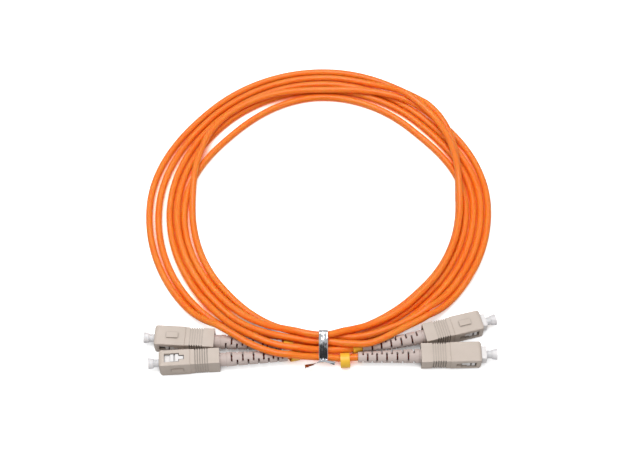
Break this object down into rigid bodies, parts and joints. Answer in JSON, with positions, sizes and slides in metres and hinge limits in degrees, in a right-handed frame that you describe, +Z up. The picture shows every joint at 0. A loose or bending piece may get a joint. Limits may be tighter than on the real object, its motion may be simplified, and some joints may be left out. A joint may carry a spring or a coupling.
{
  "type": "fibre optic patch cord",
  "caption": "Duplex fibre optic patch cord, coiled and tied, with square push-pull plugs, slotted boots and dust caps on its ends.",
  "frame": {"origin": "on the surface that the part lies on, under the middle of the bounding box of the plugs with their boots and dust caps", "axes": "+X to the right along the plugs, +Y from the plugs to the far side of the coil, +Z up from the surface"},
  "size_m": [0.1513, 0.1563, 0.0115],
  "materials": {
    "jacket": "satin orange PVC jacket",
    "beige": "satin moulded",
    "white": "satin moulded",
    "boot": "matte elastomer",
    "cap": "translucent moulded",
    "zirconia": "polished ceramic",
    "nickel": "nickel plated",
    "steel": "drawn spring wire",
    "fibre": "coated fibre buffer",
    "marker": "satin yellow band",
    "foil": "metallised film over wire"
  },
  "bodies": {
    "cord": {"back_left_inner_housing": "white", "back_left_stop_body": "nickel", "back_left_crimp_sleeve": "nickel", "back_left_boot": "boot", "back_left_lead": "jacket", "back_left_marker_ring": "marker", "back_left_ferrule_spring": "steel", "front_left_inner_housing": "white", "front_left_stop_body": "nickel", "front_left_crimp_sleeve": "nickel", "front_left_boot": "boot", "front_left_lead": "jacket", "front_left_marker_ring": "marker", "front_left_ferrule_spring": "steel", "back_right_inner_housing": "white", "back_right_stop_body": "nickel", "back_right_crimp_sleeve": "nickel", "back_right_boot": "boot", "back_right_lead": "jacket", "back_right_marker_ring": "marker", "back_right_ferrule_spring": "steel", "front_right_inner_housing": "white", "front_right_stop_body": "nickel", "front_right_crimp_sleeve": "nickel", "front_right_boot": "boot", "front_right_lead": "jacket", "front_right_marker_ring": "marker", "front_right_ferrule_spring": "steel", "strand_a_coil": "jacket", "strand_b_coil": "jacket", "twist_tie": "foil"},
    "back_left_grip": {"back_left_outer_housing": "beige"},
    "back_left_ferrule_unit": {"back_left_ferrule": "zirconia", "back_left_ferrule_flange": "nickel", "back_left_buffered_fibre": "fibre"},
    "back_left_cap": {"back_left_dust_cap": "cap"},
    "front_left_grip": {"front_left_outer_housing": "beige"},
    "front_left_ferrule_unit": {"front_left_ferrule": "zirconia", "front_left_ferrule_flange": "nickel", "front_left_buffered_fibre": "fibre"},
    "front_left_cap": {"front_left_dust_cap": "cap"},
    "back_right_grip": {"back_right_outer_housing": "beige"},
    "back_right_ferrule_unit": {"back_right_ferrule": "zirconia", "back_right_ferrule_flange": "nickel", "back_right_buffered_fibre": "fibre"},
    "back_right_cap": {"back_right_dust_cap": "cap"},
    "front_right_grip": {"front_right_outer_housing": "beige"},
    "front_right_ferrule_unit": {"front_right_ferrule": "zirconia", "front_right_ferrule_flange": "nickel", "front_right_buffered_fibre": "fibre"},
    "front_right_cap": {"front_right_dust_cap": "cap"}
  },
  "joints": [
    {"name": "back_left_grip_slide", "type": "slide", "parent": "cord", "child": "back_left_grip", "axis": [-0.9982, 0.0593, 0], "range_m": [-0.0023, 0]},
    {"name": "back_left_ferrule_push", "type": "slide", "parent": "cord", "child": "back_left_ferrule_unit", "axis": [0.9982, -0.0593, 0], "range_m": [0, 0.001], "stiffness_N_per_m": 100, "springref_m": -0.002, "deforming": ["back_left_ferrule_spring"]},
    {"name": "back_left_cap_pull", "type": "slide", "parent": "back_left_ferrule_unit", "child": "back_left_cap", "axis": [-0.9982, 0.0593, 0], "range_m": [0, 0.012]},
    {"name": "front_left_grip_slide", "type": "slide", "parent": "cord", "child": "front_left_grip", "axis": [-0.998, -0.0628, 0], "range_m": [-0.0023, 0]},
    {"name": "front_left_ferrule_push", "type": "slide", "parent": "cord", "child": "front_left_ferrule_unit", "axis": [0.998, 0.0628, 0], "range_m": [0, 0.001], "stiffness_N_per_m": 100, "springref_m": -0.002, "deforming": ["front_left_ferrule_spring"]},
    {"name": "front_left_cap_pull", "type": "slide", "parent": "front_left_ferrule_unit", "child": "front_left_cap", "axis": [-0.998, -0.0628, 0], "range_m": [0, 0.012]},
    {"name": "back_right_grip_slide", "type": "slide", "parent": "cord", "child": "back_right_grip", "axis": [0.9673, 0.2538, 0], "range_m": [-0.0006, 0.0017]},
    {"name": "back_right_ferrule_push", "type": "slide", "parent": "cord", "child": "back_right_ferrule_unit", "axis": [-0.9673, -0.2538, 0], "range_m": [0, 0.001], "stiffness_N_per_m": 100, "springref_m": -0.002, "deforming": ["back_right_ferrule_spring"]},
    {"name": "back_right_cap_pull", "type": "slide", "parent": "back_right_ferrule_unit", "child": "back_right_cap", "axis": [0.9673, 0.2538, 0], "range_m": [0, 0.012]},
    {"name": "front_right_grip_slide", "type": "slide", "parent": "cord", "child": "front_right_grip", "axis": [0.9997, 0.0244, 0], "range_m": [-0.0003, 0.002]},
    {"name": "front_right_ferrule_push", "type": "slide", "parent": "cord", "child": "front_right_ferrule_unit", "axis": [-0.9997, -0.0244, 0], "range_m": [0, 0.001], "stiffness_N_per_m": 100, "springref_m": -0.002, "deforming": ["front_right_ferrule_spring"]},
    {"name": "front_right_cap_pull", "type": "slide", "parent": "front_right_ferrule_unit", "child": "front_right_cap", "axis": [0.9997, 0.0244, 0], "range_m": [0, 0.012]}
  ]
}
